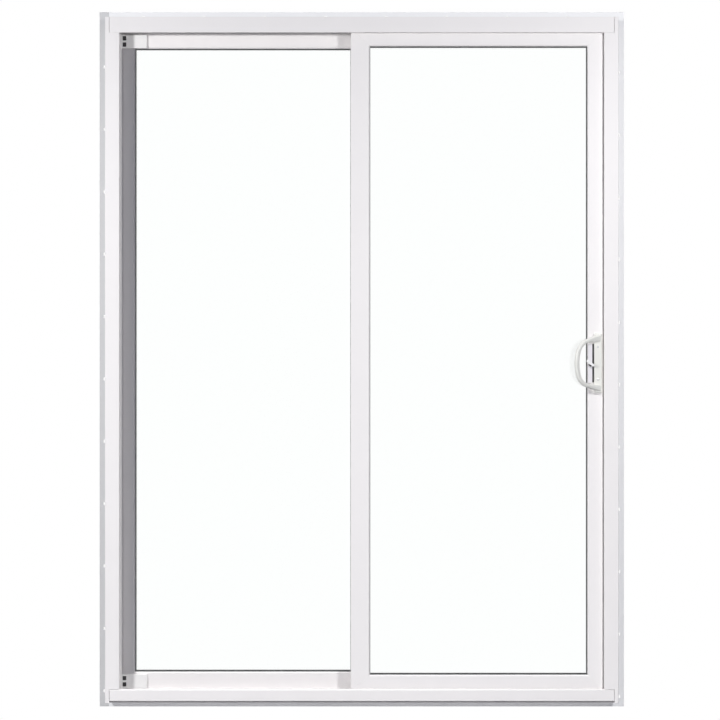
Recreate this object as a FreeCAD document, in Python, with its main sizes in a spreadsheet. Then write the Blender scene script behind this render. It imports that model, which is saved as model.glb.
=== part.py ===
"""A two-panel vinyl sliding patio door with nailing fins, for an opening five feet by six feet eight.

Millimetres, with +X towards the lock jamb, +Y outdoors and +Z up. The origin lies on the indoor face of the
sill's nailing fin, half way along it and half way across its width.
"""

import FreeCAD
import Part
import Sketcher
import math
import os
from types import SimpleNamespace

SIZES = {
    # Frame, seen from indoors
    "frame_width": 1511,
    "frame_height": 2019,
    "jamb_face": 42,
    "head_face": 46,
    "sill_face": 40.5,
    "corner_strip": 12,
    "corner_gap": 1,
    "vinyl_wall": 2.8,
    "edge_round": 1.5,
    "sill_round": 4,
    # Depth of the frame, from indoors to outdoors
    "interior_leg": 10,
    "running_clearance": 5,
    "closing_gap": 2.5,
    "panel_thickness": 38,
    "panel_gap": 12,
    "middle_leg": 4,
    "exterior_leg": 22,
    # Tracks, measured from the frame's outer edges
    "fixed_lap": 6.5,
    "head_floor": 24,
    "head_recess": 34,
    "head_middle_drop": 40,
    "guide_thickness": 4,
    "guide_entry": 10,
    "sill_floor": 14,
    # Drip groove under the sill's indoor face
    "drip_top": 6.5,
    "drip_lip": 1.5,
    "drip_setback": 6,
    "drip_depth": 12,
    "panel_seat": 29.7,
    "sill_middle_rise": 33,
    # Outdoor edge of the head and sill
    "screen_groove_width": 12,
    "screen_groove_depth": 10,
    "screen_groove_wall": 5,
    "nose_top": 20,
    "nose_edge": 16,
    "nose_lip": 5,
    "screen_rail_setback": 7,
    "screen_rail_height": 8,
    "screen_rail_thickness": 2.5,
    "weep_length": 30,
    "weep_height": 5,
    "weep_lead": 240,
    "weep_pitch": 503.5,
    "weep_count": 3,
    # Pile kerf in the jambs
    "kerf_setback": 4,
    "kerf_mouth": 3,
    "kerf_width": 6,
    "kerf_lip": 1.5,
    "kerf_depth": 4.5,
    "pile_fit": 0.3,
    # Nailing fins
    "fin_width": 28,
    "fin_thickness": 1.8,
    "fin_depth": 91,
    "fin_tongue": 5.5,
    "fin_shoulder": 0.3,
    "groove_depth": 6,
    "groove_fit": 0.2,
    "nail_slot_length": 10,
    "nail_slot_width": 5,
    "cross_slot_pitch": 181.1,
    "cross_slot_count": 8,
    "side_slot_pitch": 186.5,
    "side_slot_count": 11,
    "head_slot_lead": 103.5,
    "sill_slot_lead": 164.9,
    "left_slot_lead": 46.6,
    "right_slot_lead": 180.4,
    # Panel frames
    "side_stile": 45,
    "meeting_stile": 56,
    "rail_width": 50,
    "lip_bevel": 3,
    "pocket_depth": 15,
    "rail_groove_width": 18,
    "rail_groove_depth": 16,
    # Glass
    "pane_thickness": 4,
    "air_space": 14,
    "glass_bite": 12,
    "spacer_height": 9,
    "spacer_inset": 2,
    "gasket_thickness": 1.5,
    "gasket_show": 1.5,
    # Interlock between the meeting stiles
    "hook_wall": 1.5,
    "hook_lip": 10,
    "hook_width": 14,
    "hook_setback": 4,
    "hook_inset": 12,
    # Roller track and rollers
    "track_top": 24,
    "track_flange": 16,
    "track_base": 2,
    "track_web": 5,
    "track_round": 2.2,
    "track_end_gap": 0.5,
    "roller_lift": 0.3,
    "roller_inset": 110,
    "roller_length": 72,
    "roller_width": 16,
    "roller_cheek": 2,
    "roller_height": 13,
    "wheel_radius": 10,
    "tread_radius": 8.8,
    "wheel_width": 9,
    "tread_width": 6,
    "axle_radius": 3,
    "axle_fit": 0.2,
    # Lock
    "lock_height": 1000,
    "faceplate_length": 180,
    "faceplate_width": 20,
    "faceplate_thickness": 2,
    "keeper_length": 120,
    "keeper_width": 20,
    "keeper_thickness": 2,
    "hook_slot_length": 44,
    "hook_slot_width": 9,
    "plate_fit": 0.2,
    # Handles
    "plate_length": 114,
    "plate_width": 42,
    "plate_thickness": 2,
    "plate_setback": 2.5,
    "strip_width": 12,
    "strip_thickness": 9,
    "spine_length": 176,
    "spine_width": 24,
    "spine_thickness": 11,
    "spine_round": 4,
    "pull_thickness": 13.5,
    "pull_bar": 13.5,
    "pull_foot": 21,
    "pull_round": 5,
    "inside_pull_tilt": 29,
    "inside_pull_root": 8,
    "inside_pull_reach": 88,
    "inside_pull_half": 84,
    "inside_grip_radius": 140,
    "inside_outer_corner": 52,
    "inside_outer_rise": 20.5,
    "inside_inner_corner": 40,
    "inside_inner_rise": 21.5,
    "outside_pull_tilt": 90,
    "outside_plate_width": 36,
    "outside_pull_reach": 46,
    "outside_pull_half": 79,
    "outside_grip_radius": 300,
    "outside_outer_corner": 28,
    "outside_outer_rise": 42,
    "outside_inner_corner": 18,
    "outside_inner_rise": 38,
    # Thumb turn
    "thumb_stem_radius": 4.5,
    "thumb_fit": 0.3,
    "thumb_clearance": 1,
    "thumb_length": 27,
    "thumb_width": 7.5,
    "thumb_thickness": 7,
    "thumb_slant": 38,
    # Retainer clips of the fixed panel
    "clip_length": 75.5,
    "clip_height": 40,
    "clip_pocket_width": 11,
    "clip_pocket_height": 13,
    "clip_pocket_depth": 5,
    "clip_pocket_setback": 2.5,
    "clip_rib": 5.5,
    "clip_round": 2,
    "clip_fit": 0.3,
}


class Size:
    """A length together with the sheet formula behind it, so that sums of sizes stay bound to the sheet."""

    def __init__(self, value, formula):
        self.value = value
        self.formula = formula

    def __add__(self, other):
        return Size(self.value + value_of(other), f"({self.formula} + {formula_of(other)})")

    def __sub__(self, other):
        return Size(self.value - value_of(other), f"({self.formula} - {formula_of(other)})")

    def __rsub__(self, other):
        return Size(value_of(other) - self.value, f"({formula_of(other)} - {self.formula})")

    def __mul__(self, other):
        return Size(self.value * value_of(other), f"({self.formula} * {formula_of(other)})")

    def __truediv__(self, other):
        return Size(self.value / value_of(other), f"({self.formula} / {formula_of(other)})")

    def __neg__(self):
        return 0 - self

    __radd__ = __add__
    __rmul__ = __mul__


def value_of(length):
    return length.value if isinstance(length, Size) else float(length)


def formula_of(length):
    return length.formula if isinstance(length, Size) else repr(float(length))


def make_sheet(doc):
    """Writes the driving sizes into the sheet and hands them back by name."""
    sheet = doc.addObject("Spreadsheet::Sheet", "Sizes")
    for row, (name, value) in enumerate(SIZES.items(), start=1):
        sheet.set(f"A{row}", name)
        sheet.set(f"B{row}", str(value))
        sheet.setAlias(f"B{row}", name)
    doc.recompute()
    return SimpleNamespace(**{name: Size(float(value), f"Sizes.{name}") for name, value in SIZES.items()})


doc = FreeCAD.newDocument("SlidingPatioDoor")
s = make_sheet(doc)
parts = []

# Depths behind the frame's indoor face
SLIDE_FRONT = s.interior_leg + s.running_clearance
SLIDE_BACK = SLIDE_FRONT + s.panel_thickness
SLIDE_CENTRE = SLIDE_FRONT + s.panel_thickness / 2
MIDDLE_FRONT = SLIDE_BACK + s.running_clearance
MIDDLE_BACK = MIDDLE_FRONT + s.middle_leg
FIXED_FRONT = SLIDE_BACK + s.panel_gap
FIXED_BACK = FIXED_FRONT + s.panel_thickness
FIXED_CENTRE = FIXED_FRONT + s.panel_thickness / 2
FRAME_DEPTH = FIXED_BACK + s.exterior_leg
KERF_CENTRE = SLIDE_FRONT + s.kerf_setback
GROOVE_NEAR = s.fin_depth - s.groove_fit
GROOVE_FAR = s.fin_depth + s.fin_thickness + s.groove_fit

# Places in the part's own frame
FRONT = -s.fin_depth
BASE = s.fin_width / 2
TOP = BASE + s.frame_height
HALF = s.frame_width / 2
JAMB_SIDE = HALF - s.jamb_face
FIXED_LEFT = -(JAMB_SIDE + s.fixed_lap)
SLIDE_RIGHT = JAMB_SIDE - s.closing_gap
PANEL_WIDTH = (SLIDE_RIGHT - FIXED_LEFT + s.meeting_stile) / 2
SLIDE_LEFT = SLIDE_RIGHT - PANEL_WIDTH
PANEL_HEIGHT = s.frame_height - s.panel_seat - s.head_recess
PANEL_BOTTOM = BASE + s.panel_seat
PANEL_TOP = TOP - s.head_recess
SLIDE_FACE = FRONT + SLIDE_FRONT
LOCK_LEVEL = BASE + s.lock_height

# Glazing channel of a panel frame
GLASS_THICKNESS = s.pane_thickness * 2 + s.air_space
POCKET_WIDTH = GLASS_THICKNESS + s.gasket_thickness * 2
GLASS_LIP = (s.panel_thickness - POCKET_WIDTH) / 2

# Sections are drawn from the outer edge inwards and from indoors outwards, then turned onto their side
X_AXIS = FreeCAD.Vector(1, 0, 0)
Y_AXIS = FreeCAD.Vector(0, 1, 0)
Z_AXIS = FreeCAD.Vector(0, 0, 1)
TURNS = {
    "left": FreeCAD.Rotation(),
    "right": FreeCAD.Rotation(Y_AXIS, 180),
    "top": FreeCAD.Rotation(Y_AXIS, 90),
    "bottom": FreeCAD.Rotation(Y_AXIS, -90),
    "about": FreeCAD.Rotation(Z_AXIS, 180),
    "outdoors": FreeCAD.Rotation(X_AXIS, 180),
}


def new_body(label, listed=True):
    body = doc.addObject("PartDesign::Body", label)
    body.Label = label
    if listed:
        parts.append(body)
    return body


def place(item, turn, x, y, z):
    """Turns a piece onto its side of the door and binds its place to the sheet."""
    corner = FreeCAD.Vector(value_of(x), value_of(y), value_of(z))
    item.Placement = FreeCAD.Placement(corner, TURNS[turn])
    for axis, length in zip("xyz", (x, y, z)):
        item.setExpression(f"Placement.Base.{axis}", formula_of(length))


def origin_feature(body, role):
    return next(item for item in body.Origin.OriginFeatures if item.Role == role)


def new_sketch(body, role, rise=0):
    """Starts a sketch on one of the body's own planes, raised along that plane's normal."""
    sketch = body.newObject("Sketcher::SketchObject", f"{body.Name}_sketch")
    sketch.AttachmentSupport = [(origin_feature(body, role), "")]
    sketch.MapMode = "FlatFace"
    sketch.setExpression("AttachmentOffset.Base.z", formula_of(rise))
    return sketch


def turn_sketch(sketch, axis, angle):
    """Turns a sketch on its plane about one of its own axes, by no more than half a turn."""
    turned = FreeCAD.Rotation(axis, value_of(angle))
    sketch.AttachmentOffset = FreeCAD.Placement(sketch.AttachmentOffset.Base, turned)
    sketch.setExpression("AttachmentOffset.Rotation.Angle", formula_of(angle))


def tie(sketch, kind, *where):
    """Adds one dimension to a sketch, bound to the formula of its length."""
    *points, length = where
    index = sketch.addConstraint(Sketcher.Constraint(kind, *points, value_of(length)))
    sketch.setExpression(f"Constraints[{index}]", formula_of(length))


def outline(sketch, corners):
    """Draws a closed outline of straight edges with each corner tied to its two lengths."""
    first = sketch.GeometryCount
    count = len(corners)
    points = [FreeCAD.Vector(value_of(x), value_of(y), 0) for x, y in corners]
    sketch.addGeometry([Part.LineSegment(points[i], points[(i + 1) % count]) for i in range(count)])
    sketch.addConstraint([
        Sketcher.Constraint("Coincident", first + i, 2, first + (i + 1) % count, 1) for i in range(count)
    ])
    for i, (x, y) in enumerate(corners):
        tie(sketch, "DistanceX", -1, 1, first + i, 1, x)
        tie(sketch, "DistanceY", -1, 1, first + i, 1, y)


def box(x0, y0, x1, y1):
    return [(x0, y0), (x1, y0), (x1, y1), (x0, y1)]


def ring(width, height, band):
    return [box(0, 0, width, height), box(band, band, width - band, height - band)]


def circle(sketch, x, y, radius):
    centre = FreeCAD.Vector(value_of(x), value_of(y), 0)
    index = sketch.addGeometry(Part.Circle(centre, FreeCAD.Vector(0, 0, 1), value_of(radius)))
    tie(sketch, "DistanceX", -1, 1, index, 3, x)
    tie(sketch, "DistanceY", -1, 1, index, 3, y)
    tie(sketch, "Radius", index, radius)


def long_hole(sketch, x, y, length, width, upright):
    """Draws a slot with round ends about its centre, upright or lying along the sketch's first axis."""
    radius = width / 2
    reach = (length - width) / 2
    along = (0, 1) if upright else (1, 0)
    ends = [(x + reach * (along[0] * sign), y + reach * (along[1] * sign)) for sign in (-1, 1)]
    centres = [FreeCAD.Vector(value_of(ex), value_of(ey), 0) for ex, ey in ends]
    side = FreeCAD.Vector(-along[1], along[0], 0) * value_of(radius)
    tip = FreeCAD.Vector(along[0], along[1], 0) * value_of(radius)
    first = sketch.GeometryCount
    sketch.addGeometry([
        Part.Arc(centres[0] + side, centres[0] - tip, centres[0] - side),
        Part.LineSegment(centres[0] - side, centres[1] - side),
        Part.Arc(centres[1] - side, centres[1] + tip, centres[1] + side),
        Part.LineSegment(centres[1] + side, centres[0] + side),
    ])
    for a in range(4):
        b = (a + 1) % 4
        sketch.addConstraint(Sketcher.Constraint("Tangent", first + a, 2, first + b, 1))
    sketch.addConstraint(Sketcher.Constraint("Equal", first, first + 2))
    for edge, (ex, ey) in zip((first, first + 2), ends):
        tie(sketch, "DistanceX", -1, 1, edge, 3, ex)
        tie(sketch, "DistanceY", -1, 1, edge, 3, ey)
    tie(sketch, "Radius", first, radius)


def pad(body, sketch, length, reverse=False, both_ways=False):
    feature = body.newObject("PartDesign::Pad", f"{body.Name}_pad")
    feature.Profile = sketch
    feature.setExpression("Length", formula_of(length))
    feature.Reversed = reverse
    if both_ways:
        feature.SideType = "Symmetric"
    body.Tip = feature
    return feature


def pocket(body, sketch, length=None, reverse=False):
    """Cuts a sketch out of the body, to a depth or right through."""
    feature = body.newObject("PartDesign::Pocket", f"{body.Name}_pocket")
    feature.Profile = sketch
    if length is None:
        feature.Type = "ThroughAll"
    else:
        feature.setExpression("Length", formula_of(length))
    feature.Reversed = reverse
    body.Tip = feature
    return feature


def repeat(body, feature, role, pitch, count):
    """Repeats a cut along one of the body's axes."""
    pattern = body.newObject("PartDesign::LinearPattern", f"{body.Name}_pattern")
    pattern.Originals = [feature]
    pattern.Direction = (origin_feature(body, role), [""])
    pattern.Mode = "Spacing"
    pattern.setExpression("Offset", formula_of(pitch))
    pattern.setExpression("Occurrences", formula_of(count))
    body.Tip = pattern
    return pattern


def round_edges(body, radius, chosen):
    """Rounds every edge of the body so far that the given test picks out."""
    doc.recompute()
    base = body.Tip
    names = [f"Edge{i}" for i, edge in enumerate(base.Shape.Edges, start=1) if chosen(edge)]
    feature = body.newObject("PartDesign::Fillet", f"{body.Name}_round")
    feature.Base = (base, names)
    feature.setExpression("Radius", formula_of(radius))
    body.Tip = feature
    return feature


def runs_at(corners):
    """A test for the long edges of an extrusion that stand on the given corners of its section."""
    spots = [(value_of(x), value_of(y)) for x, y in corners]

    def chosen(edge):
        ends = [(v.Point.x, v.Point.y) for v in edge.Vertexes]
        return any(
            all(abs(px - x) < 1e-4 and abs(py - y) < 1e-4 for px, py in ends) for x, y in spots
        ) and edge.BoundBox.ZLength > 1

    return chosen


def extrude(label, loops, length, rise=0, listed=True):
    """A straight extrusion: the section's outline and chambers, drawn flat and drawn out along Z."""
    body = new_body(label, listed)
    sketch = new_sketch(body, "XY_Plane", rise)
    for loop in loops:
        outline(sketch, loop)
    pad(body, sketch, length)
    return body


def plate(label, loops, thickness):
    """A flat piece drawn in elevation and thickened towards outdoors."""
    body = new_body(label)
    sketch = new_sketch(body, "XZ_Plane")
    for loop in loops:
        outline(sketch, loop)
    pad(body, sketch, thickness, reverse=True)
    return body


# Frame sections

def fin_groove():
    """The outer edge of a frame section, with the groove that takes a nailing fin's tongue."""
    return [(0, FRAME_DEPTH), (0, GROOVE_FAR), (s.groove_depth, GROOVE_FAR),
            (s.groove_depth, GROOVE_NEAR), (0, GROOVE_NEAR)]


def pile_kerf():
    """A T-shaped kerf in the jamb's side, which holds the weather pile."""
    lip = s.jamb_face - s.kerf_lip
    floor = s.jamb_face - s.kerf_depth
    mouth = s.kerf_mouth / 2
    half = s.kerf_width / 2
    near = [(s.jamb_face, -mouth), (lip, -mouth), (lip, -half), (floor, -half)]
    far = [(u, -v) for u, v in reversed(near)]
    return [(u, KERF_CENTRE + v) for u, v in near + far]


def jamb_section():
    """A jamb: a thin outer layer that runs past the corners, and chambers behind face and panel pocket."""
    wall = s.vinyl_wall
    face = s.jamb_face
    floor = face - s.fixed_lap
    inner = s.corner_strip
    kerf_floor = face - s.kerf_depth - wall
    kerf_half = s.kerf_width / 2 + wall
    edge = [(0, 0), (face, 0), *pile_kerf(), (face, MIDDLE_BACK), (floor, MIDDLE_BACK), (floor, FIXED_BACK),
            (face, FIXED_BACK), (face, FRAME_DEPTH)]
    chambers = [
        box(wall, wall, inner - wall, GROOVE_NEAR - wall),
        box(wall, GROOVE_FAR + wall, inner - wall, FRAME_DEPTH - wall),
        [(inner, wall), (face - wall, wall), (face - wall, KERF_CENTRE - kerf_half),
         (kerf_floor, KERF_CENTRE - kerf_half), (kerf_floor, KERF_CENTRE - wall / 2),
         (inner, KERF_CENTRE - wall / 2)],
        [(inner, KERF_CENTRE + wall / 2), (kerf_floor, KERF_CENTRE + wall / 2),
         (kerf_floor, KERF_CENTRE + kerf_half), (face - wall, KERF_CENTRE + kerf_half),
         (face - wall, MIDDLE_BACK - wall), (inner, MIDDLE_BACK - wall)],
        box(inner, MIDDLE_BACK, floor - wall, FIXED_BACK),
        box(inner, FIXED_BACK + wall, face - wall, FRAME_DEPTH - wall),
    ]
    return edge, chambers


def head_section():
    """The head: an indoor leg, two guides for the panels' top grooves, a middle leg and a screen groove."""
    wall = s.vinyl_wall
    floor = s.head_floor
    tip = s.head_recess + s.guide_entry
    lap = s.head_recess + s.fixed_lap
    groove_floor = lap - s.screen_groove_depth
    groove_near = FIXED_BACK + s.screen_groove_wall
    groove_far = groove_near + s.screen_groove_width
    edge = [(0, 0), (s.head_face, 0), (s.head_face, s.interior_leg), (floor, s.interior_leg)]
    for centre, drop, half in (
        (SLIDE_CENTRE, tip, s.guide_thickness / 2),
        (MIDDLE_FRONT + s.middle_leg / 2, s.head_middle_drop, s.middle_leg / 2),
        (FIXED_CENTRE, tip, s.guide_thickness / 2),
    ):
        edge += [(floor, centre - half), (drop, centre - half),
                 (drop, centre + half), (floor, centre + half)]
    edge += [(floor, FIXED_BACK), (lap, FIXED_BACK), (lap, groove_near), (groove_floor, groove_near),
             (groove_floor, groove_far), (lap, groove_far), (lap, FRAME_DEPTH)]
    chambers = [
        box(wall, wall, floor - wall, SLIDE_CENTRE - wall / 2),
        box(wall, SLIDE_CENTRE + wall / 2, floor - wall, GROOVE_NEAR - wall),
        [(wall, GROOVE_FAR + wall), (floor - wall, GROOVE_FAR + wall), (floor - wall, FIXED_BACK + wall),
         (groove_floor - wall, FIXED_BACK + wall), (groove_floor - wall, FRAME_DEPTH - wall),
         (wall, FRAME_DEPTH - wall)],
        box(floor, wall, s.head_face - wall, s.interior_leg - wall),
    ]
    return edge, chambers


def sill_section():
    """The sill: an indoor leg, the roller channel, the fixed panel's seat and a nose that sheds water."""
    wall = s.vinyl_wall
    lap = s.panel_seat + s.fixed_lap
    lip_far = FIXED_BACK + s.nose_lip
    rail_near = lip_far + s.screen_rail_setback
    rail_far = rail_near + s.screen_rail_thickness
    rail_top = s.nose_top + s.screen_rail_height
    edge = [(0, 0), (s.sill_face, 0), (s.sill_face, s.interior_leg), (s.sill_floor, s.interior_leg),
            (s.sill_floor, MIDDLE_FRONT), (s.sill_middle_rise, MIDDLE_FRONT),
            (s.sill_middle_rise, MIDDLE_BACK), (s.panel_seat, MIDDLE_BACK), (s.panel_seat, FIXED_BACK),
            (lap, FIXED_BACK), (lap, lip_far), (s.nose_top, lip_far), (s.nose_top, rail_near),
            (rail_top, rail_near), (rail_top, rail_far), (s.nose_top, rail_far), (s.nose_edge, FRAME_DEPTH)]
    chambers = [
        box(wall, s.drip_depth + wall, s.sill_floor - wall, MIDDLE_FRONT),
        box(s.sill_floor, wall, s.sill_face - wall, s.interior_leg - wall),
        box(wall, MIDDLE_FRONT + wall, s.panel_seat - wall, GROOVE_NEAR - wall),
        box(wall, GROOVE_FAR + wall, s.panel_seat - wall, FIXED_BACK + wall),
        box(wall, FIXED_BACK + wall * 2, s.nose_edge - wall, FRAME_DEPTH - wall),
    ]
    return edge, chambers


def with_drip_groove(section):
    """The sill's section with a groove under its indoor face, above a lip that stands back from the face."""
    edge, chambers = section
    groove = [(0, s.drip_setback), (s.drip_lip, s.drip_setback), (s.drip_lip, s.drip_depth),
              (s.drip_top, s.drip_depth), (s.drip_top, 0)]
    return groove + edge[1:], chambers


# Frame members

def jamb(label, side, x, z, first, last):
    """A jamb whose inner layer is coped over the members at its two ends."""
    edge, chambers = jamb_section()
    body = extrude(label, [edge + fin_groove(), *chambers], s.frame_height)
    round_edges(body, s.edge_round, runs_at([(0, 0), (s.jamb_face, 0)]))
    cope = new_sketch(body, "YZ_Plane", s.corner_strip)
    outline(cope, [(v, u) for u, v in first + [(0, FRAME_DEPTH)]])
    outline(cope, [(v, s.frame_height - u) for u, v in last + [(0, FRAME_DEPTH)]])
    pocket(body, cope, reverse=True)
    place(body, side, x, FRONT, z)
    return body


def cross_member(label, side, x, z, section, radius, face):
    """The head or the sill, cut to fit between the jambs' outer strips with a fine gap at each end."""
    edge, chambers = section
    length = s.frame_width - (s.corner_strip + s.corner_gap) * 2
    body = extrude(label, [edge + fin_groove(), *chambers], length)
    round_edges(body, radius, runs_at([(face, 0), (face, s.interior_leg)]))
    place(body, side, x, FRONT, z)
    return body


def weep_slots(sill):
    """Drain slots through the sill's outdoor wall."""
    sketch = new_sketch(sill, "XZ_Plane", -FRAME_DEPTH)
    middle = s.nose_edge / 2
    long_hole(sketch, middle, s.weep_lead, s.weep_length, s.weep_height, upright=True)
    cut = pocket(sill, sketch, s.vinyl_wall, reverse=True)
    repeat(sill, cut, "Z_Axis", s.weep_pitch, s.weep_count)


def keeper_recess(right_jamb):
    """A shallow seat for the lock keeper in the lock jamb's side."""
    level = TOP - LOCK_LEVEL
    half_width = s.keeper_width / 2 + s.plate_fit
    half_length = s.keeper_length / 2 + s.plate_fit
    sketch = new_sketch(right_jamb, "YZ_Plane", s.jamb_face - s.keeper_thickness)
    outline(sketch, box(SLIDE_CENTRE - half_width, level - half_length,
                        SLIDE_CENTRE + half_width, level + half_length))
    pocket(right_jamb, sketch, reverse=True)


def make_frame():
    head = head_section()
    sill = sill_section()
    jamb("left_jamb", "left", -HALF, BASE, sill[0], head[0])
    keeper_recess(jamb("right_jamb", "right", HALF, TOP, head[0], sill[0]))
    reach = HALF - s.corner_strip - s.corner_gap
    cross_member("head", "top", -reach, TOP, head, s.edge_round, s.head_face)
    grooved = with_drip_groove(sill)
    weep_slots(cross_member("sill", "bottom", reach, BASE, grooved, s.sill_round, s.sill_face))


def nail_fin(label, side, x, z, length, tongue_start, lead, pitch, count):
    """A nailing fin: a flat strip with a tongue in the frame's groove and a row of nail slots."""
    body = extrude(label, [box(0, 0, s.fin_width, s.fin_thickness)], length)
    tongue = new_sketch(body, "XY_Plane", tongue_start)
    outline(tongue, box(s.fin_width, s.fin_shoulder, s.fin_width + s.fin_tongue, s.fin_thickness))
    pad(body, tongue, length - tongue_start * 2)
    slot = new_sketch(body, "XZ_Plane")
    long_hole(slot, s.fin_width / 2, lead, s.nail_slot_length, s.nail_slot_width, upright=True)
    repeat(body, pocket(body, slot), "Z_Axis", pitch, count)
    place(body, side, x, 0, z)


def make_fins():
    side_length = s.frame_height + s.fin_width * 2
    side = (side_length, s.fin_width)
    side_row = (s.side_slot_pitch, s.side_slot_count)
    cross = (s.frame_width, s.corner_strip + s.corner_gap)
    cross_row = (s.cross_slot_pitch, s.cross_slot_count)
    outer = HALF + s.fin_width
    nail_fin("left_nail_fin", "left", -outer, BASE - s.fin_width, *side, s.left_slot_lead, *side_row)
    nail_fin("right_nail_fin", "right", outer, TOP + s.fin_width, *side, s.right_slot_lead, *side_row)
    nail_fin("head_nail_fin", "top", -HALF, TOP + s.fin_width, *cross, s.head_slot_lead, *cross_row)
    nail_fin("sill_nail_fin", "bottom", HALF, BASE - s.fin_width, *cross, s.sill_slot_lead, *cross_row)


# Panel frames

def sash_section(width, grooved):
    """A stile or rail: one chamber behind a glazing pocket, and for a rail a groove for its track."""
    wall = s.vinyl_wall
    deep = s.panel_thickness
    floor = width - s.pocket_depth
    bevel = s.lip_bevel
    edge = [(0, 0), (width - bevel, 0), (width, bevel), (width, GLASS_LIP), (floor, GLASS_LIP),
            (floor, deep - GLASS_LIP), (width, deep - GLASS_LIP), (width, deep - bevel),
            (width - bevel, deep), (0, deep)]
    chamber = box(wall, wall, floor - wall, deep - wall)
    if grooved:
        near = (deep - s.rail_groove_width) / 2
        far = (deep + s.rail_groove_width) / 2
        end = s.rail_groove_depth
        edge += [(0, far), (end, far), (end, near), (0, near)]
        chamber += [(wall, far + wall), (end + wall, far + wall),
                    (end + wall, near - wall), (wall, near - wall)]
    return [edge, chamber]


def mitre(body, width, length, first, last):
    """Cuts both ends of a stile or rail along the lines from outer corner to inner corner."""
    sketch = new_sketch(body, "XZ_Plane")
    outline(sketch, [(0, 0), (width, 0), (width, first)])
    outline(sketch, [(0, length), (width, length), (width, length - last)])
    pocket(body, sketch)


def stile(label, side, width, x, y):
    """An upright of a panel, mitred to the rails and notched where the track grooves run out."""
    body = extrude(label, sash_section(width, grooved=False), PANEL_HEIGHT)
    round_edges(body, s.edge_round, runs_at([(0, 0), (0, s.panel_thickness)]))
    mitre(body, width, PANEL_HEIGHT, s.rail_width, s.rail_width)
    near = (s.panel_thickness - s.rail_groove_width) / 2
    far = (s.panel_thickness + s.rail_groove_width) / 2
    notch = new_sketch(body, "YZ_Plane")
    outline(notch, box(near, 0, far, s.rail_groove_depth))
    outline(notch, box(near, PANEL_HEIGHT - s.rail_groove_depth, far, PANEL_HEIGHT))
    pocket(body, notch, reverse=True)
    place(body, side, x, y, PANEL_BOTTOM if side == "left" else PANEL_TOP)
    return body


def rail(label, side, first, last, x, y):
    """A cross piece of a panel, mitred to a stile at each end."""
    body = extrude(label, sash_section(s.rail_width, grooved=True), PANEL_WIDTH)
    mitre(body, s.rail_width, PANEL_WIDTH, first, last)
    place(body, side, x, y, PANEL_BOTTOM if side == "bottom" else PANEL_TOP)
    return body


def glass(name, left_stile, right_stile, x, y):
    """An insulating unit of two panes on a spacer, held between an indoor and an outdoor gasket."""
    width = PANEL_WIDTH - left_stile - right_stile + s.glass_bite * 2
    height = PANEL_HEIGHT - s.rail_width * 2 + s.glass_bite * 2
    left = x + left_stile - s.glass_bite
    bottom = PANEL_BOTTOM + s.rail_width - s.glass_bite
    glass_front = GLASS_LIP + s.gasket_thickness
    glass_back = glass_front + GLASS_THICKNESS
    for side, depth in (("inner", glass_front), ("outer", glass_back - s.pane_thickness)):
        pane = plate(f"{name}_{side}_pane", [box(0, 0, width, height)], s.pane_thickness)
        place(pane, "left", left, y + depth, bottom)
    inset = s.spacer_inset
    band = ring(width - inset * 2, height - inset * 2, s.spacer_height)
    spacer = plate(f"{name}_glass_spacer", band, s.air_space)
    place(spacer, "left", left + inset, y + glass_front + s.pane_thickness, bottom + inset)
    for side, depth in (("inner", GLASS_LIP), ("outer", glass_back)):
        band = ring(width, height, s.glass_bite + s.gasket_show)
        gasket = plate(f"{name}_{side}_gasket", band, s.gasket_thickness)
        place(gasket, "left", left, y + depth, bottom)


def make_panels():
    fixed_y = FRONT + FIXED_FRONT
    stile("fixed_jamb_stile", "left", s.side_stile, FIXED_LEFT, fixed_y)
    stile("fixed_meeting_stile", "right", s.meeting_stile, FIXED_LEFT + PANEL_WIDTH, fixed_y)
    rail("fixed_top_rail", "top", s.side_stile, s.meeting_stile, FIXED_LEFT, fixed_y)
    rail("fixed_bottom_rail", "bottom", s.meeting_stile, s.side_stile, FIXED_LEFT + PANEL_WIDTH, fixed_y)
    glass("fixed", s.side_stile, s.meeting_stile, FIXED_LEFT, fixed_y)

    stile("sliding_meeting_stile", "left", s.meeting_stile, SLIDE_LEFT, SLIDE_FACE)
    faceplate_recess(stile("sliding_lock_stile", "right", s.side_stile, SLIDE_RIGHT, SLIDE_FACE))
    rail("sliding_top_rail", "top", s.meeting_stile, s.side_stile, SLIDE_LEFT, SLIDE_FACE)
    rail("sliding_bottom_rail", "bottom", s.side_stile, s.meeting_stile, SLIDE_RIGHT, SLIDE_FACE)
    glass("sliding", s.meeting_stile, s.side_stile, SLIDE_LEFT, SLIDE_FACE)


def make_interlock():
    """A pair of hooked strips between the meeting stiles, which catch each other as the door closes."""
    wall = s.hook_wall
    spare = (s.panel_gap - wall * 4) / 3
    lip_near = wall * 2 + spare * 2
    hook = [(0, 0), (s.hook_width, 0), (s.hook_width, wall), (wall, wall), (wall, lip_near),
            (s.hook_lip, lip_near), (s.hook_lip, lip_near + wall), (0, lip_near + wall)]
    x = SLIDE_LEFT + s.hook_setback
    z = PANEL_BOTTOM + s.hook_inset
    length = PANEL_HEIGHT - s.hook_inset * 2
    place(extrude("sliding_interlock", [hook], length), "left", x, FRONT + SLIDE_BACK, z)
    place(extrude("fixed_interlock", [hook], length), "about", x + s.hook_width, FRONT + FIXED_FRONT, z)


# Roller track and rollers

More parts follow.
